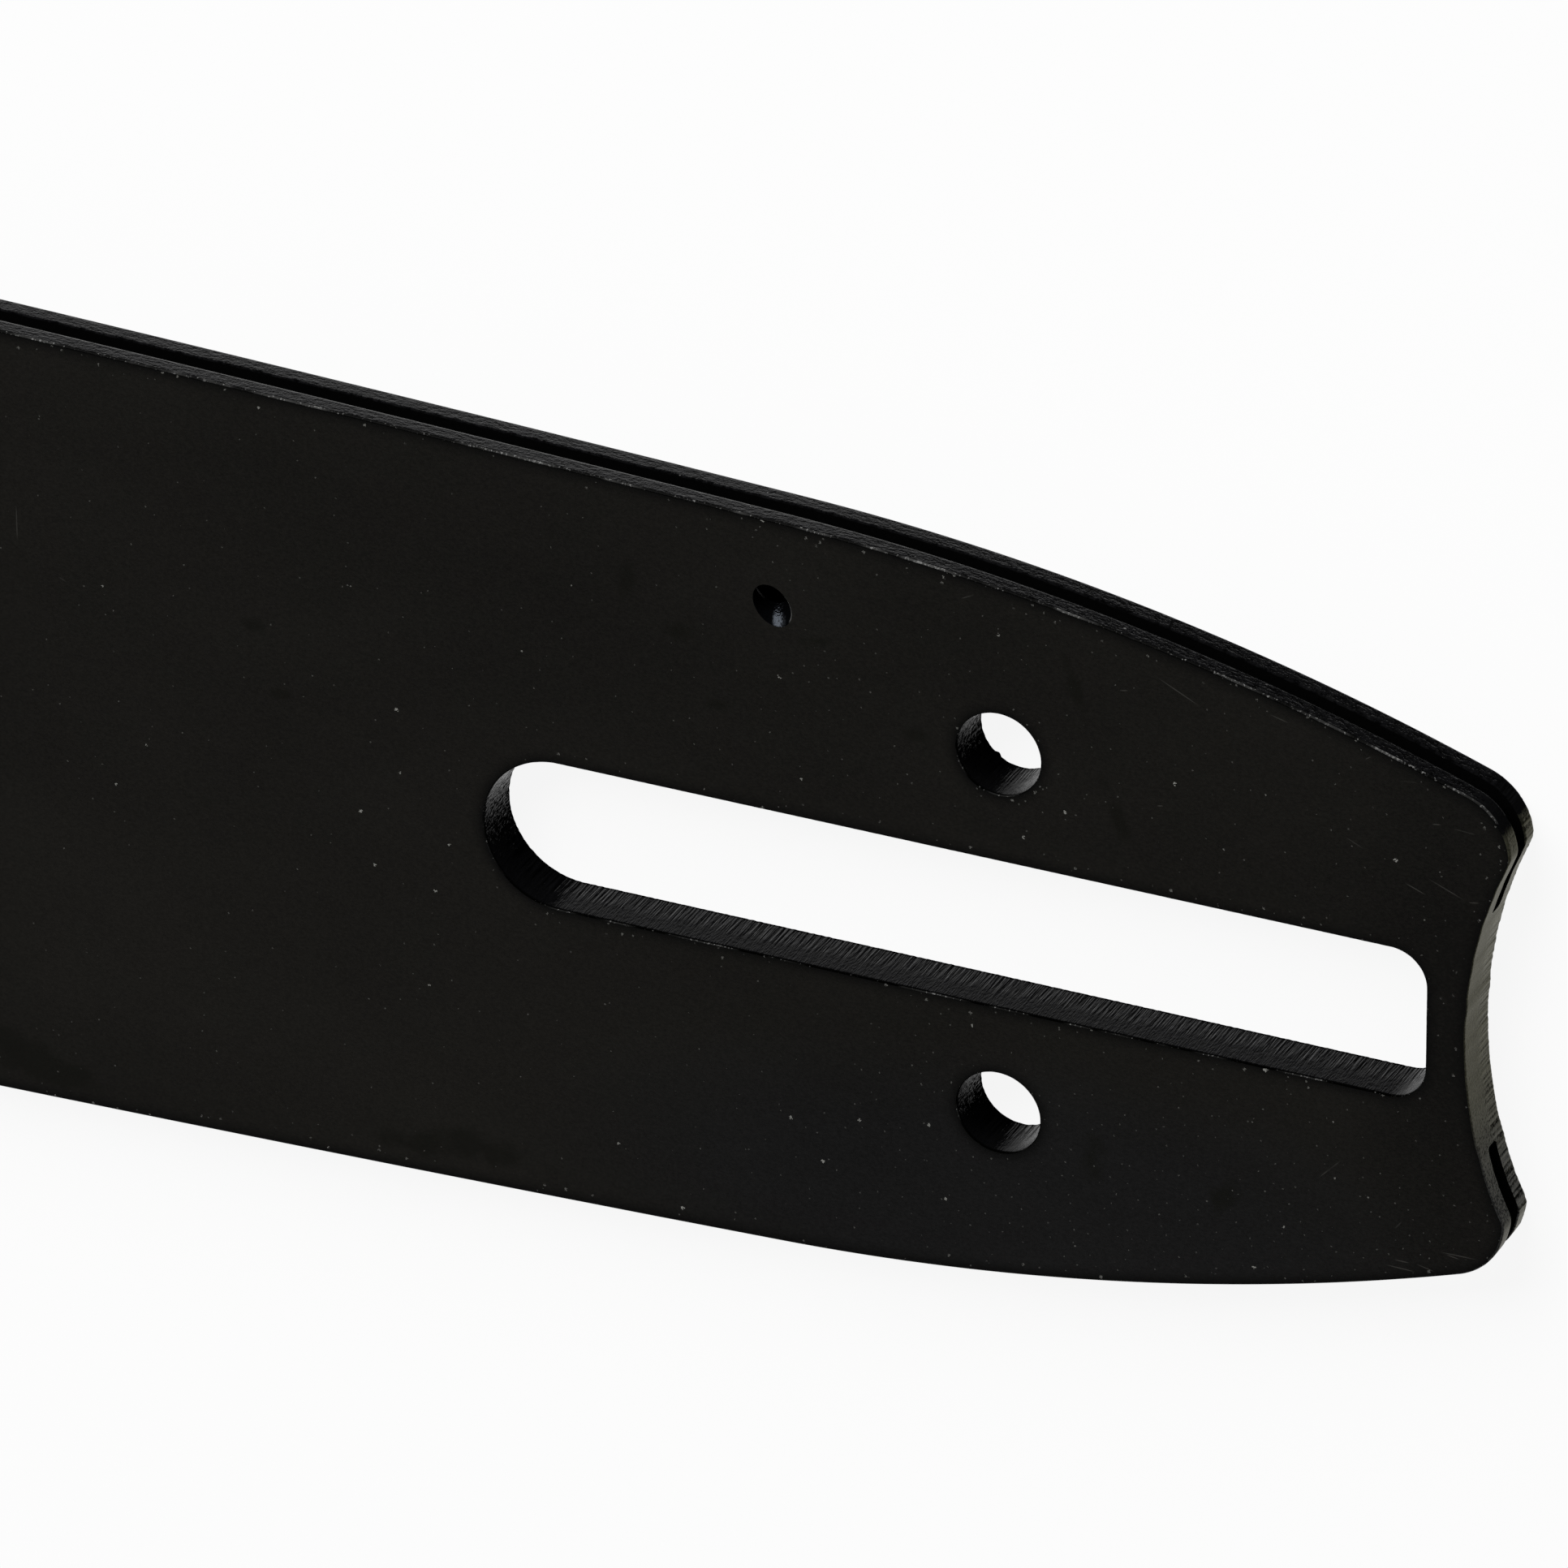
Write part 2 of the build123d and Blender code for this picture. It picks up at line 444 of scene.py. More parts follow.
class Pen:
    """Draws a chain of edges at one height, one run after the other, on a sheet of its own."""

    def __init__(self, point, height):
        self.sheet = bmesh.new()
        self.height = height
        self.end = self.sheet.verts.new((point.x, point.y, height))

    def arc(self, centre, to_bearing, steps):
        """Spins the end of the chain about a centre until it has the given bearing."""
        radius = (self.end.co.xy - centre).length
        turn = to_bearing - bearing(centre, self.end.co)
        turn = (turn + pi) % (2 * pi) - pi
        made = bmesh.ops.spin(
            self.sheet, geom=[self.end], cent=(*centre, self.height), axis=(0, 0, 1), angle=turn, steps=steps
        )
        self.end = made["geom_last"][0]
        self.end.co.xy = centre + Vector((cos(to_bearing), sin(to_bearing))) * radius

    def line(self, point, steps):
        """Draws a straight run to a point."""
        step = (Vector((point.x, point.y, self.height)) - self.end.co) / steps
        for _ in range(steps):
            self.end = bmesh.ops.extrude_vert_indiv(self.sheet, verts=[self.end])["verts"][0]
            self.end.co += step

    def close(self, bm):
        """Mirrors the chain across the bar's middle, adds the closed loop to a mesh and returns its edges."""
        half = self.sheet.verts[:] + self.sheet.edges[:]
        bmesh.ops.mirror(self.sheet, geom=half, matrix=Matrix(), merge_dist=WELD, axis="Y")
        drawn = bpy.data.meshes.new("drawn_loop")
        self.sheet.to_mesh(drawn)
        self.sheet.free()
        edges_before = set(bm.edges)
        bm.from_mesh(drawn)
        bpy.data.meshes.remove(drawn)
        return [edge for edge in bm.edges if edge not in edges_before]


def rail_pen(form, inset, height):
    """A pen that has drawn the nose and the long rail, as far as the shoulder."""
    pen = Pen(Vector((inset - form.sizes.nose_reach, 0)), height)
    pen.arc(form.nose, bearing(form.rail, form.nose), NOSE_STEPS)
    pen.arc(form.rail, bearing(form.rail, form.shoulder), RAIL_STEPS)
    return pen


def outline_loop(bm, form, inset, hollow_inset, height):
    """The bar's whole edge at one height, drawn in from the rails and from the hollow."""
    pen = rail_pen(form, inset, height)
    pen.arc(form.taper, bearing(form.taper, form.horn), TAPER_STEPS)
    tip = form.tip(inset, hollow_inset)
    pen.arc(form.horn, bearing(form.horn, tip), HORN_STEPS)
    pen.arc(tip, bearing(tip, form.hollow), TIP_STEPS)
    gate = form.gate(form.sizes.groove_depth - form.sizes.groove_fillet)
    pen.arc(form.hollow, bearing(form.hollow, gate), GATE_STEPS)
    form.draw_hollow(pen)
    return pen.close(bm)


def floor_loop(bm, form, inset, height):
    """The groove's floor at one height, closed along the middle of the hollow."""
    pen = rail_pen(form, inset, height)
    pen.arc(form.taper, bearing(form.taper, form.gate(inset)), TAPER_STEPS)
    form.draw_hollow(pen)
    return pen.close(bm)


def slot_loop(bm, sizes, grow, height):
    """The stud slot at one height: round towards the nose, square with rounded corners towards the tail."""
    half_width = sizes.slot_width / 2 + grow
    round_end = Vector((sizes.slot_width / 2 - sizes.slot_nose_reach, 0))
    corner_side = sizes.slot_width / 2 - sizes.slot_corner
    corner = Vector((sizes.slot_tail_reach - sizes.slot_corner, corner_side))
    pen = Pen(Vector((-sizes.slot_nose_reach - grow, 0)), height)
    pen.arc(round_end, pi / 2, SLOT_END_STEPS)
    pen.line(Vector((corner.x, half_width)), SLOT_SIDE_STEPS)
    pen.arc(corner, 0, SLOT_CORNER_STEPS)
    pen.line(Vector((sizes.slot_tail_reach + grow, 0)), SLOT_TAIL_STEPS)
    return pen.close(bm)


def ring_loop(bm, steps, place):
    """A closed ring, placed by a matrix that may stretch it."""
    made = bmesh.ops.create_circle(bm, segments=steps, radius=1.0, matrix=place)
    return list({edge for vert in made["verts"] for edge in vert.link_edges})


def adjuster_loop(bm, sizes, side, grow, height):
    radius = sizes.adjuster_diameter / 2 + grow
    centre = Vector((0, side * sizes.adjuster_spacing / 2, height))
    half_step = Quaternion((0, 0, 1), pi / ADJUSTER_STEPS)
    return ring_loop(bm, ADJUSTER_STEPS, Matrix.LocRotScale(centre, half_step, Vector((radius, radius, 1))))


def oil_loop(bm, sizes, grow, height):
    """The lower face's oil hole, cut level at one height of its slant."""
    heading = pi + sizes.oil_heading
    slide = height * tan(sizes.oil_tilt)
    mouth = Vector((-sizes.oil_setback, -sizes.oil_offset, 0))
    centre = mouth + Vector((slide * cos(heading), slide * sin(heading), height))
    radius = sizes.oil_diameter / 2
    stretch = Vector((radius / cos(sizes.oil_tilt) + grow, radius + grow, 1))
    return ring_loop(bm, OIL_STEPS, Matrix.LocRotScale(centre, Quaternion((0, 0, 1), heading), stretch))


def skin(bm, loops, finish):
    """Bridges each loop to the next, and gives the new faces a finish."""
    for lower, upper in zip(loops, loops[1:]):
        made = bmesh.ops.bridge_loops(bm, edges=lower + upper)
        for face in made["faces"]:
            face.material_index = finish
            face.smooth = True


def raise_rows(bm, loop, heights, finish):
    """Extrudes a level loop upwards through a row of heights, and returns the last loop."""
    for height in heights:
        made = bmesh.ops.extrude_edge_only(bm, edges=loop)["geom"]
        new_verts = {part for part in made if isinstance(part, bmesh.types.BMVert)}
        for vert in new_verts:
            vert.co.z = height
        for face in (part for part in made if isinstance(part, bmesh.types.BMFace)):
            face.material_index = finish
            face.smooth = True
        loop = [
            part
            for part in made
            if isinstance(part, bmesh.types.BMEdge) and new_verts.issuperset(part.verts)
        ]
    return loop


def flat(bm, edges, finish):
    """Fills a level region between its outer loop and the loops of its holes."""
    made = bmesh.ops.triangle_fill(bm, use_beauty=True, edges=edges, normal=(0, 0, -1))
    for face in (part for part in made["geom"] if isinstance(part, bmesh.types.BMFace)):
        face.material_index = finish


def rows(start, end, count):
    """Evenly spaced values after the start, up to the end."""
    return [start + (end - start) * step / count for step in range(1, count + 1)]


def quarter_round(radius, steps):
    """Points round an edge, from its face to its side: how far each lies from the side and from the face."""
    turns = [0.0] + rows(0, pi / 2, steps)
    return [(radius * (1 - sin(turn)), radius * (1 - cos(turn))) for turn in turns]


def outer_edge(bm, form, wall):
    """The rounded arris, the rail and the groove's lip. Returns the loops beside the face and the lip."""
    arris, lip, rim = form.sizes.arris, form.sizes.lip, form.sizes.rim
    edge_loops = [
        outline_loop(bm, form, inset, inset * rim / arris, height)
        for inset, height in quarter_round(arris, ROUND_STEPS)
    ]
    skin(bm, edge_loops, ARRIS)
    rail_top = raise_rows(bm, edge_loops[-1], rows(arris, wall - lip, WALL_ROWS), RAIL)
    lip_points = quarter_round(lip, LIP_STEPS)[1:]
    lip_loops = [outline_loop(bm, form, inset, 0, wall - drop) for drop, inset in lip_points]
    skin(bm, [rail_top] + lip_loops, RAIL)
    return edge_loops[0], rail_top


def groove_floor(bm, form, wall, middle):
    """The groove's floor with its fillet, up to the middle of the thickness."""
    depth, fillet = form.sizes.groove_depth, form.sizes.groove_fillet
    points = quarter_round(fillet, ROUND_STEPS)
    loops = [floor_loop(bm, form, depth - inset, wall + rise) for inset, rise in points]
    skin(bm, loops, GROOVE)
    raise_rows(bm, loops[-1], rows(wall + fillet, middle, GROOVE_ROWS), GROOVE)


def finish_tail(bm, form):
    """Gives the end of the tail, from one horn to the other, a finish of its own."""
    for face in bm.faces:
        centre = face.calc_center_median()
        from_hollow = (centre.xy - form.hollow).length - form.sizes.hollow_radius
        at_end = centre.x > form.horn.x and abs(centre.y) < form.horn.y + TAIL_RUN
        on_edge = face.material_index in (ARRIS, RAIL) and at_end
        on_floor = face.material_index == GROOVE and abs(from_hollow) < form.sizes.arris
        if face.smooth and (on_edge or on_floor):
            face.material_index = TAIL


def lower_half(bm, sizes):
    """The bar from its lower face to the middle of its thickness, open at the top."""
    form = BarForm(sizes)
    middle = sizes.thickness / 2
    wall = middle - sizes.groove_width / 2
    face_loop, rail_top = outer_edge(bm, form, wall)
    groove_floor(bm, form, wall, middle)

    # The face's band along the outer edge
    rim, band = sizes.rim, sizes.shade_band
    face_edges = list(face_loop)
    band_edges = outline_loop(bm, form, sizes.arris + band, rim + band, 0)
    flat(bm, face_edges + band_edges, FACE)

    # The slot and the adjuster holes, each with a broken rim and a band round it
    openings = [lambda grow, height: slot_loop(bm, sizes, grow, height)]
    for side in (-1, 1):
        openings.append(lambda grow, height, side=side: adjuster_loop(bm, sizes, side, grow, height))
    for opening in openings:
        rim_loops = [opening(rim, 0), opening(0, rim)]
        opening_band = opening(rim + band, 0)
        flat(bm, rim_loops[0] + opening_band, FACE)
        face_edges += rim_loops[0] + rim_loops[1]
        band_edges += opening_band
        skin(bm, rim_loops, CUT)
        raise_rows(bm, rim_loops[-1], rows(rim, middle, WALL_ROWS), CUT)

    # The oil hole through this cheek
    oil_loops = [oil_loop(bm, sizes, rim, 0), oil_loop(bm, sizes, 0, rim), oil_loop(bm, sizes, 0, wall)]
    skin(bm, oil_loops, BORE)

    # The rest of the face, and the groove's wall between its mouth and its floor
    flat(bm, band_edges + oil_loops[0], FACE)
    shade = bm.verts.layers.float.new("shade")
    for vert in {vert for edge in face_edges + rail_top for vert in edge.verts}:
        vert[shade] = 1.0
    bmesh.ops.remove_doubles(bm, verts=bm.verts, dist=WELD)
    open_edges = [edge for edge in bm.edges if edge.is_boundary]
    flat(bm, [edge for edge in open_edges if abs(edge.verts[0].co.z - wall) < WELD], GROOVE)
    finish_tail(bm, form)


def order_faces(bm):
    """Puts the faces in the order of their points, so that every run gives the same mesh."""
    bm.verts.index_update()
    count = len(bm.verts)

    def rank(face):
        first, second, third = sorted(vert.index for vert in face.verts)[:3]
        return (first * count + second) * count + third

    bm.faces.sort(key=rank)


def striate(bm, sizes):
    """Cuts the fine upright lines of the laser into the openings, the hollow and the horns, deepest low down.

    Walls that face the tail keep a crust from the cut.
    """
    bm.normal_update()
    crust = bm.verts.layers.float.new("crust")
    horn_x = sizes.tail_reach - sizes.horn_radius
    outward = {}
    at_tail = {vert for face in bm.faces if face.material_index == TAIL for vert in face.verts}
    for face in bm.faces:
        on_horn = face.material_index == RAIL and face.calc_center_median().x > horn_x
        if on_horn or face.material_index in (CUT, TAIL):
            for vert in face.verts:
                outward[vert] = outward.get(vert, Vector((0, 0, 0))) + face.normal
    for vert, way in outward.items():
        way = Vector((way.x, way.y, 0)).normalized()
        vert[crust] = max(way.x, 0)
        x, y, z = vert.co
        shallow, start = STRIA_AT_TAIL if vert in at_tail else STRIA_IN_OPENINGS
        low = min(max((start - z / sizes.thickness) / start, 0), 1)
        line = noise.noise((x / STRIA_WIDTH, y / STRIA_WIDTH, z / STRIA_RUN))
        cut = line * (shallow + (STRIA_DEEP - shallow) * low)
        if x > horn_x:
            cut += FACET_DEPTH * noise.noise((x / FACET_WIDTH, y / FACET_WIDTH, 0))
        vert.co += way * cut


def raise_burr(bm, sizes):
    """Pulls a small burr out of the lower edge of one adjuster hole."""
    hole = Vector((0, sizes.adjuster_spacing / 2))
    for vert in bm.verts:
        away = (vert.co - BURR_PLACE).length / BURR_SIZE
        if away < 1:
            inward = (hole - vert.co.xy).normalized() * BURR_REACH * (1 - away)
            vert.co += Vector((*inward, 0))


def sharpen(bm):
    """Keeps the light from running round the edges that are sharp."""
    for edge in bm.edges:
        edge.smooth = edge.calc_face_angle(0) < SHARP


def bar_mesh(sizes):
    bm = bmesh.new()
    lower_half(bm, sizes)
    middle = sizes.thickness / 2

    # The other half is the same, turned half round about the bar's length
    turned = bmesh.ops.duplicate(bm, geom=bm.verts[:] + bm.edges[:] + bm.faces[:])["geom"]
    turned_verts = [part for part in turned if isinstance(part, bmesh.types.BMVert)]
    bmesh.ops.rotate(bm, verts=turned_verts, cent=(0, 0, middle), matrix=Matrix.Rotation(pi, 3, "X"))
    bmesh.ops.remove_doubles(bm, verts=bm.verts, dist=WELD)
    bmesh.ops.recalc_face_normals(bm, faces=bm.faces)
    order_faces(bm)
    striate(bm, sizes)
    raise_burr(bm, sizes)
    sharpen(bm)

    mesh = bpy.data.meshes.new("guide_bar_finished")
    bm.to_mesh(mesh)
    bm.free()
    return mesh


class Value:
    """A socket of a shader graph. Arithmetic on it adds Math nodes."""

    def __init__(self, graph, socket):
        self.graph = graph
        self.socket = socket

    def __add__(self, other):
        return self.graph.math("ADD", self, other)

    def __sub__(self, other):
        return self.graph.math("SUBTRACT", self, other)

    def __rsub__(self, other):
        return self.graph.math("SUBTRACT", other, self)

    def __mul__(self, other):
        return self.graph.math("MULTIPLY", self, other)

    __radd__ = __add__
    __rmul__ = __mul__

    def output(self, name):
        """Another output of the same node."""
        return Value(self.graph, self.socket.node.outputs[name])


class Graph:
    """Adds the nodes of one material or of the world, and links them."""

    def __init__(self, owner):
        owner.use_nodes = True
        self.tree = owner.node_tree
        self.tree.nodes.clear()

    def node(self, kind, settings, sockets, output=0):
        """Adds a node with its settings, then feeds its sockets, and returns one of its outputs."""
        node = self.tree.nodes.new(kind)
        for name, setting in settings.items():
            setattr(node, name, setting)
        for name, fed in sockets.items():
            if isinstance(fed, Value):
                self.tree.links.new(fed.socket, node.inputs[name])
            else:
                node.inputs[name].default_value = fed
        return Value(self, node.outputs[output]) if node.outputs else None

    def math(self, operation, *values):
        return self.node("ShaderNodeMath", {"operation": operation}, dict(enumerate(values)))

    def place(self):
        """Where on the piece a point is."""
        return self.node("ShaderNodeTexCoord", {}, {}, "Object")

    def axis(self, place, name):
        """A place's X, Y or Z."""
        return self.node("ShaderNodeSeparateXYZ", {}, {"Vector": place}, name)

    def stretched(self, place, scale, centre=(0, 0, 0), turn=0.0):
        """Places a pattern at a centre, turned about Z, and sized by a scale."""
        sockets = {"Vector": place, "Location": centre, "Rotation": (0, 0, turn), "Scale": scale}
        return self.node("ShaderNodeMapping", {"vector_type": "TEXTURE"}, sockets)

    def noise(self, place, size, detail=2.0):
        return self.node("ShaderNodeTexNoise", {}, {"Vector": place, "Scale": 1 / size, "Detail": detail})

    def fade(self, value, start, end):
        """Runs smoothly from 0 at the start to 1 at the end."""
        sockets = {"Value": value, "From Min": start, "From Max": end}
        return self.node("ShaderNodeMapRange", {"interpolation_type": "SMOOTHSTEP"}, sockets)

    def mix(self, share, first, second):
        """One colour over another."""
        first, second = (shade if isinstance(shade, Value) else (*shade, 1) for shade in (first, second))
        return self.node("ShaderNodeMix", {"data_type": "RGBA"}, {0: share, 6: first, 7: second}, 2)

    def attribute(self, name):
        return self.node("ShaderNodeAttribute", {"attribute_name": name}, {}, "Fac")

    def bump(self, height, depth):
        return self.node("ShaderNodeBump", {}, {"Height": height, "Distance": depth})

    def shader(self, colour, roughness, normal, constants):
        sockets = {"Base Color": colour, "Roughness": roughness, "Normal": normal, **constants}
        return self.node("ShaderNodeBsdfPrincipled", {}, sockets)

    def surface(self, *looks):
        """Ends the graph in one shader."""
        self.end(self.shader(*looks))

    def matt_wall(self, colour, roughness, normal, sheen, shine, dull, constants=WALL_GLOSS):
        """Ends the graph in a matt surface with a sheen at a slant, and more shine at a steep one.

        Where it is dull, both need more slant.
        """
        slant = self.node("ShaderNodeLayerWeight", {}, {"Blend": 0.5, "Normal": normal}, "Facing") - dull
        share = self.fade(slant, *SHEEN_SLANT) * sheen + self.fade(slant, *SHINE_SLANT) * shine
        self.glazed(colour, roughness, normal, share, constants)

    def glazed(self, colour, roughness, normal, share, constants):
        """Ends the graph in a matt surface with a share of gloss."""
        matt = self.shader(colour, 1.0, normal, {"Specular IOR Level": 0.0})
        gloss = self.shader(colour, roughness, normal, constants)
        self.end(self.node("ShaderNodeMixShader", {}, {0: share, 1: matt, 2: gloss}))

    def end(self, shader):
        is_world = isinstance(self.tree.id_data, bpy.types.World)
        kind = "ShaderNodeOutputWorld" if is_world else "ShaderNodeOutputMaterial"
        self.node(kind, {}, {"Surface": shader})


def toned(shade, factor):
    return tuple(channel * factor for channel in shade)


def mottled(graph, share, shade, tones):
    """A colour that runs from its darkest tone to its palest one."""
    return graph.mix(share, *(toned(shade, tone) for tone in tones))


def spot(graph, place, x, y, turn, half_length, half_width):
    """1 in the middle of an oval mark on both faces, falling to 0 at its edge."""
    oval = graph.stretched(place, (half_length, half_width, ANY_HEIGHT), (x, y, 0), radians(turn))
    return graph.node("ShaderNodeTexGradient", {"gradient_type": "SPHERICAL"}, {"Vector": oval}, "Fac")


def specks(graph, place, spacing, radius, share, dimensions="2D"):
    """Small uneven specks, one in some of the cells of a random grid, the smaller the fainter."""
    sockets = {"Vector": place, "Scale": 1 / spacing}
    cells = graph.node("ShaderNodeTexVoronoi", {"voronoi_dimensions": dimensions}, sockets)
    chance = graph.node("ShaderNodeTexWhiteNoise", {}, {"Vector": cells.output("Position")})
    size = graph.fade(chance, 1 - share, 1)
    uneven = graph.fade(graph.noise(place, radius, 1.0), 0.3, 0.65) * 1.4
    return graph.math("LESS_THAN", cells, size * uneven * (radius / spacing)) * size


def at_height(graph, place, start, end):
    """Runs from 0 at one share of the thickness to 1 at another."""
    return graph.fade(graph.axis(place, "Z"), BAR_HIGH.z * start, BAR_HIGH.z * end)


def upright_lines(graph, place, width, run, detail):
    """Fine lines through the thickness, about 0."""
    return graph.noise(graph.stretched(place, (width, width, run)), 1.0, detail) - 0.5


def cut_lines(graph, place):
    """The lines of the cut over a fine grain, strongest low down, and how low down each point is."""
    low = at_height(graph, place, *LOW_IN_OPENINGS)
    lines = upright_lines(graph, place, *CUT_LINE, 2.0)
    grain = upright_lines(graph, place, *CUT_GRAIN, 2.0)
    return lines * (0.12 + 0.68 * low) + grain * (0.18 - 0.06 * low), low


def coated_face(graph, finish):
    """The blackened faces, with dark patches, scratches and dust, and broad areas of painted light and shade.
    """
    place = graph.place()
    grain = graph.noise(graph.stretched(place, COAT_GRAIN_DRAW), COAT_GRAIN, 1.0)
    cloud = graph.noise(graph.stretched(place, COAT_CLOUD_DRAW), COAT_CLOUD, 5.0)
    # Painted light and shade: broad areas of the faces made paler or darker
    painted_light_and_shade = sum(spot(graph, place, *area) * change for *area, change in PAINTED_LIGHT_AREAS)
    tone_share = grain * 0.95 + cloud * 0.6 + painted_light_and_shade - 0.275
    greyness = graph.fade(spot(graph, place, *GREY_AREA) + cloud * 0.4, 0.2, 0.8)
    coats = [mottled(graph, tone_share, coat, COAT_TONES) for coat in (finish.coat, finish.grey_coat)]
    near_edge = graph.attribute("shade")
    tone = graph.mix(near_edge * near_edge, graph.mix(greyness, *coats), finish.shade)

    stains = sum(spot(graph, place, *stain) for stain in STAINS)
    patchy = graph.noise(place, STAIN_PATCH, 4.0)
    stained = graph.fade(stains + (patchy - 0.5) * 1.4, 0.3, 0.9)
    tone = graph.mix(stained * 0.7, tone, finish.stain)

    lines = sum(spot(graph, place, *scratch, SCRATCH_WIDTH) for scratch in SCRATCHES)
    tone = graph.mix(graph.fade(lines, 0.05, 0.5) * graph.fade(patchy, 0.2, 0.6), tone, finish.scratch)

    dust_rise = graph.fade(graph.axis(place, "X"), *DUST_RISE)
    dusty = 0.3 + 0.4 * dust_rise + 1.3 * spot(graph, place, *DUST_AREA)
    dust = specks(graph, place, *DUST, 0.48 * dusty)
    fine_dust = specks(graph, place, *FINE_DUST, 1.15 * dusty)
    chips = specks(graph, place, *CHIPS, 0.22) * graph.fade(near_edge, 0.1, 0.4)
    dust = graph.math("MAXIMUM", dust, graph.math("MAXIMUM", fine_dust * 0.28, chips * 0.45))
    tone = graph.mix(dust, tone, finish.dust)
    graph.surface(tone, 0.45 + 0.1 * grain, graph.bump(grain, COAT_RELIEF), FACE_GLOSS)


def worn_and_highlight_line(graph, place, finish, tone, where, line=1.0, more=0.0):
    """A thin line along an edge, broken, with brighter beads, of which there can be more: partly steel that
    shows, partly painted highlight.
    """
    dashes = graph.noise(place, WORN_DASHES, 2.0)
    beads = graph.noise(place, WORN_BEADS, 1.0)
    tone = graph.mix(graph.fade(dashes, 0.45, 0.7) * where * line, tone, finish.edge)
    return graph.mix(graph.fade(beads + dashes * 0.5 + more, 0.84, 1.0) * where, tone, finish.worn_and_highlight)


def arris_wear_shade_and_highlight(graph, finish):
    """The outer edges: black painted shade beside the face, and beside the rail a thin line, partly steel and
    partly painted highlight.
    """
    place = graph.place()
    outer = graph.fade(1 - graph.attribute("shade"), 0.3, 0.9)
    rubbed = sum(spot(graph, place, *rub) for rub in RUBBED_EDGES)
    # Painted shade beside the face; beside the rail a line of worn steel and painted highlight
    tone = worn_and_highlight_line(graph, place, finish, finish.shade, outer, more=rubbed * 0.1)
    grain = graph.noise(place, ARRIS_GRAIN, 1.0)
    graph.surface(tone, 0.35 + 0.1 * grain, graph.bump(grain, ARRIS_RELIEF), ARRIS_GLOSS)


def ground_rail(graph, finish):
    """The rails, mottled by grinding and wear, with a painted highlight along the lip of the upper cheek. The
    lines of the cut show at the horns.
    """
    place = graph.place()
    ground = graph.noise(graph.stretched(place, RAIL_MOTTLE), 1.0, 3.0)
    pits = graph.noise(place, RAIL_PITS, 2.0)
    along = graph.axis(place, "X")
    horn = graph.fade(along, *HORN_CUT)
    cut, _ = cut_lines(graph, place)
    relief = (ground * 0.8 + pits * 0.5 - 0.65) * (1 - horn) + cut * horn
    tone = mottled(graph, graph.fade(relief, -0.2, 0.2), finish.rail, RAIL_TONES)
    # Painted highlight along the lip of the upper cheek, fading towards the tail
    lip_highlight_share = at_height(graph, place, *UPPER_HALF) * (1 - 0.95 * graph.fade(along, *LIP_HIGHLIGHT_FADES))
    lip = graph.fade(graph.attribute("shade"), 0.3, 0.9) * lip_highlight_share * (0.2 + 0.5 * ground)
    tone = graph.mix(lip, tone, finish.worn_and_highlight)
    tone = graph.mix(specks(graph, place, *RAIL_DOTS, 0.35, "3D"), tone, finish.worn_and_highlight)
    dull = graph.fade(along, *RAIL_DULLS) * 0.105
    bumps = graph.bump(relief, RAIL_RELIEF)
    graph.matt_wall(tone, 0.3 + 0.14 * relief, bumps, sheen=0.62, shine=0.38, dull=dull)


def groove_shadow(graph, finish):
    """The inside of the groove, which stays dark."""
    grain = graph.noise(graph.place(), GROOVE_GRAIN)
    tone = mottled(graph, grain, finish.groove, GROOVE_TONES)
    graph.surface(tone, 0.8 + 0.1 * grain, graph.bump(grain, GROOVE_RELIEF), GROOVE_GLOSS)


def cut_wall(graph, finish):
    """The walls of the slot and the holes: black at the rims and where a crust is left."""
    place = graph.place()
    relief, low = cut_lines(graph, place)
    tone = mottled(graph, graph.fade(relief, -0.15, 0.15), finish.cut, CUT_TONES)
    near_rim = graph.attribute("shade")
    tone = graph.mix(near_rim, tone, finish.shade)
    tone = worn_and_highlight_line(graph, place, finish, tone, graph.fade(near_rim, 0.9, 0.99), line=0.4, more=-0.05)
    crust = graph.attribute("crust")
    scale = upright_lines(graph, place, *CRUST_SCALE, 3.0)
    relief = relief * (1.0 - 0.7 * crust) + scale * crust * 0.5
    dull = graph.fade(crust, 0.05, 0.5) * (0.17 - 0.7 * scale) + near_rim * 0.25
    bumps = graph.bump(relief, CUT_RELIEF)
    graph.matt_wall(tone, 0.26 - 0.08 * low, bumps, sheen=0.42, shine=0.58, dull=dull)


def tail_wall(graph, finish):
    """The wall of the hollow, left pale and speckled by the cut, with teeth along its lower edge."""
    place = graph.place()
    low = at_height(graph, place, *LOW_AT_TAIL)
    teeth = upright_lines(graph, place, *TAIL_TEETH, 0.0)
    specked = graph.noise(place, TAIL_GRAIN, 3.0) - 0.5
    relief = teeth * low + specked * 0.5
    raised = graph.fade(relief, -0.25, 0.25)
    across = graph.axis(place, "Y")
    clean = mottled(graph, raised, finish.tail, TAIL_TONES)
    darker_tone = mottled(graph, raised, finish.edge, DARKER_TAIL_TONES)
    tone = graph.mix(graph.fade(across, *TAIL_DARKENS), clean, darker_tone)
    black = graph.fade(across + specked * TAIL_FRAY, *TAIL_BLACK)
    tone = graph.mix(black, tone, finish.rail)
    dull = (0.5 - graph.fade(teeth, -0.15, 0.15)) * low * 0.12 - specked * 0.5
    bumps = graph.bump(relief, TAIL_RELIEF)
    sheen = 0.52 * (1 - black)
    graph.matt_wall(tone, 0.3 - 0.08 * low, bumps, sheen, shine=0.0, dull=dull, constants=TAIL_GLOSS)


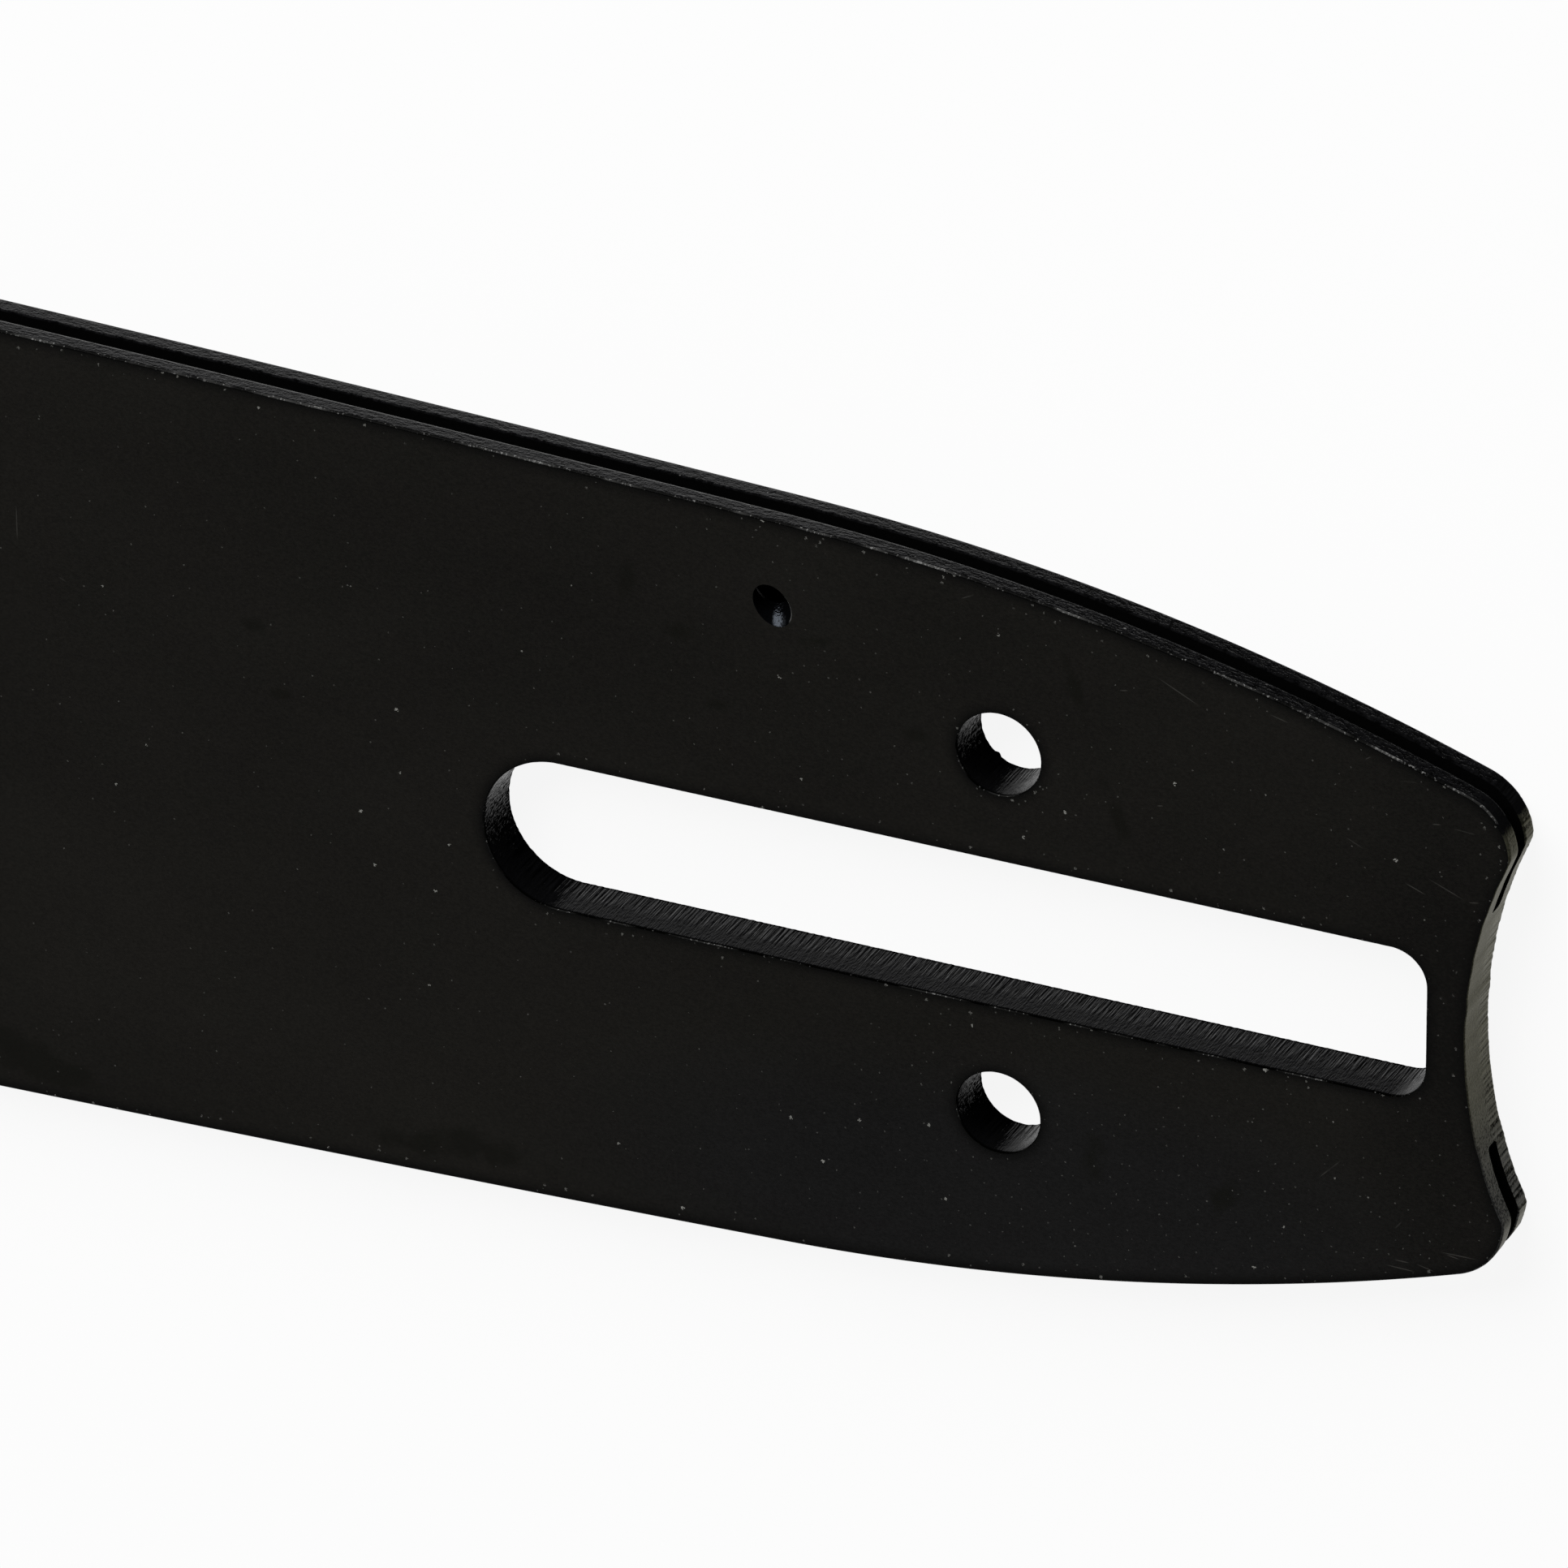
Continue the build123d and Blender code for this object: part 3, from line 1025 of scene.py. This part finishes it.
def oil_bore(graph, finish):
    """The walls of the oil holes, glossy where oil has run, with paler edges on the upper one."""
    place = graph.place()
    grain = graph.noise(place, BORE_GRAIN)
    tone = mottled(graph, grain, finish.bore, BORE_TONES)
    along, across, height = (graph.axis(place, name) for name in "XYZ")
    rim = graph.fade(height, BAR_HIGH.z - RIM_DEPTH, BAR_HIGH.z - RIM_DEPTH / 2)
    tone = graph.mix(rim * graph.fade(along + across, *RIM_SIDE), tone, toned(finish.edge, 1.8))
    inner = graph.fade(height, *INNER_EDGE) * at_height(graph, place, *UPPER_HALF)
    tone = graph.mix(inner * graph.fade(along, *INNER_SIDE), tone, finish.worn_and_highlight)
    wet = graph.fade(sum(spot(graph, place, *run) for run in OIL_RUNS), 0.1, 0.45)
    graph.glazed(tone, 0.08 + 0.06 * grain, graph.bump(grain, BORE_RELIEF), wet, BORE_GLOSS)


FINISHES = (coated_face, arris_wear_shade_and_highlight, ground_rail, groove_shadow, cut_wall, tail_wall, oil_bore)


class GUIDEBAR_OT_build_bar(bpy.types.Operator):
    """Model the guide bar with all its edges and give it its finishes"""

    bl_idname = "guide_bar.build_bar"
    bl_label = "Build Guide Bar"

    def execute(self, context):
        mesh = bar_mesh(context.scene.bar_sizes)
        for finish in FINISHES:
            material = bpy.data.materials.new(finish.__name__)
            finish(Graph(material), context.scene.bar_finish)
            mesh.materials.append(material)
        bar = bpy.data.objects.new("guide_bar_finished", mesh)
        context.scene.collection.objects.link(bar)
        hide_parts(NODE)
        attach(bar, "root")
        return {"FINISHED"}


def add_floor(scene, settings):
    """A white floor just under the bar. What sees it straight or in a gloss sees it nearly evenly white."""
    mesh = bpy.data.meshes.new("floor")
    bm = bmesh.new()
    bmesh.ops.create_grid(bm, x_segments=1, y_segments=1, size=FLOOR_REACH)
    bmesh.ops.translate(bm, verts=bm.verts, vec=(0, 0, BAR_LOW.z - FLOOR_GAP))
    bm.to_mesh(mesh)
    bm.free()
    floor = bpy.data.objects.new("floor", mesh)
    scene.collection.objects.link(floor)
    material = bpy.data.materials.new("white_sweep")
    mesh.materials.append(material)
    graph = Graph(material)
    white = (*settings.floor, 1)
    lit = graph.node("ShaderNodeBsdfDiffuse", {}, {"Color": white})
    even = graph.node("ShaderNodeEmission", {}, {"Color": (1, 1, 1, 1), "Strength": 1.0})
    seen = 0.0
    for ray in ("Is Camera Ray", "Is Glossy Ray", "Is Transmission Ray"):
        seen = graph.math("MAXIMUM", seen, graph.node("ShaderNodeLightPath", {}, {}, ray))
    graph.end(graph.node("ShaderNodeMixShader", {}, {0: seen * settings.floor_evenness, 1: lit, 2: even}))


def add_world(scene, settings):
    """A studio that is bright low down and dim overhead."""
    world = bpy.data.worlds.new("studio")
    scene.world = world
    graph = Graph(world)
    way = graph.node("ShaderNodeTexCoord", {}, {}, "Generated")
    dimmed = graph.fade(graph.axis(way, "Z"), *STUDIO_DIMS)
    shade = graph.mix(dimmed, settings.horizon, settings.overhead)
    graph.end(graph.node("ShaderNodeBackground", {}, {"Color": shade, "Strength": 1.0}))


def add_softbox(scene, settings):
    """A square lamp that faces the bar's origin."""
    data = bpy.data.lights.new("softbox", "AREA")
    data.shape = "SQUARE"
    data.size = settings.softbox_size
    data.energy = settings.softbox_power
    lamp = bpy.data.objects.new("softbox", data)
    way = Vector(settings.softbox_way).normalized()
    lamp.location = way * settings.softbox_distance
    lamp.rotation_mode = "QUATERNION"
    lamp.rotation_quaternion = way.to_track_quat("Z", "Y")
    scene.collection.objects.link(lamp)


def add_camera(scene, settings):
    data = bpy.data.cameras.new("camera")
    data.lens = settings.lens
    data.sensor_width = settings.sensor_width
    camera = bpy.data.objects.new("camera", data)
    azimuth, elevation = settings.view_azimuth, settings.view_elevation
    level = cos(elevation)
    back = Vector((sin(azimuth) * level, -cos(azimuth) * level, sin(elevation)))
    camera.location = Vector(settings.view_target) + back * settings.view_distance
    camera.rotation_mode = "QUATERNION"
    camera.rotation_quaternion = back.to_track_quat("Z", "Y") @ Quaternion((0, 0, 1), settings.view_roll)
    scene.collection.objects.link(camera)
    scene.camera = camera


class GUIDEBAR_OT_set_stage(bpy.types.Operator):
    """Set up the floor, the light and the camera"""

    bl_idname = "guide_bar.set_stage"
    bl_label = "Set Stage"

    def execute(self, context):
        scene = context.scene
        settings = scene.stage_settings
        scene.view_settings.view_transform = "Standard"
        add_floor(scene, settings)
        add_world(scene, settings)
        add_softbox(scene, settings)
        add_camera(scene, settings)
        return {"FINISHED"}


class GUIDEBAR_PT_panel(bpy.types.Panel):
    """The guide bar's sizes, colours and stage"""

    bl_idname = "GUIDEBAR_PT_panel"
    bl_label = "Guide Bar"
    bl_space_type = "VIEW_3D"
    bl_region_type = "UI"
    bl_category = "Guide Bar"

    def draw(self, context):
        for operator, groups in PANEL_ROWS:
            self.layout.operator(operator)
            for group in groups:
                settings = getattr(context.scene, group)
                for name in settings.__annotations__:
                    self.layout.prop(settings, name)


PANEL_ROWS = (
    (GUIDEBAR_OT_build_bar.bl_idname, ("bar_sizes", "bar_finish")),
    (GUIDEBAR_OT_set_stage.bl_idname, ("stage_settings",)),
)
CLASSES = (
    BarSizes,
    BarFinish,
    StageSettings,
    GUIDEBAR_OT_build_bar,
    GUIDEBAR_OT_set_stage,
    GUIDEBAR_PT_panel,
)


def register():
    for cls in CLASSES:
        bpy.utils.register_class(cls)
    bpy.types.Scene.bar_sizes = PointerProperty(type=BarSizes)
    bpy.types.Scene.bar_finish = PointerProperty(type=BarFinish)
    bpy.types.Scene.stage_settings = PointerProperty(type=StageSettings)


def unregister():
    del bpy.types.Scene.stage_settings
    del bpy.types.Scene.bar_finish
    del bpy.types.Scene.bar_sizes
    for cls in reversed(CLASSES):
        bpy.utils.unregister_class(cls)


def main():
    register()
    bpy.ops.guide_bar.build_bar()
    bpy.ops.guide_bar.set_stage()


if __name__ == "__main__":
    main()
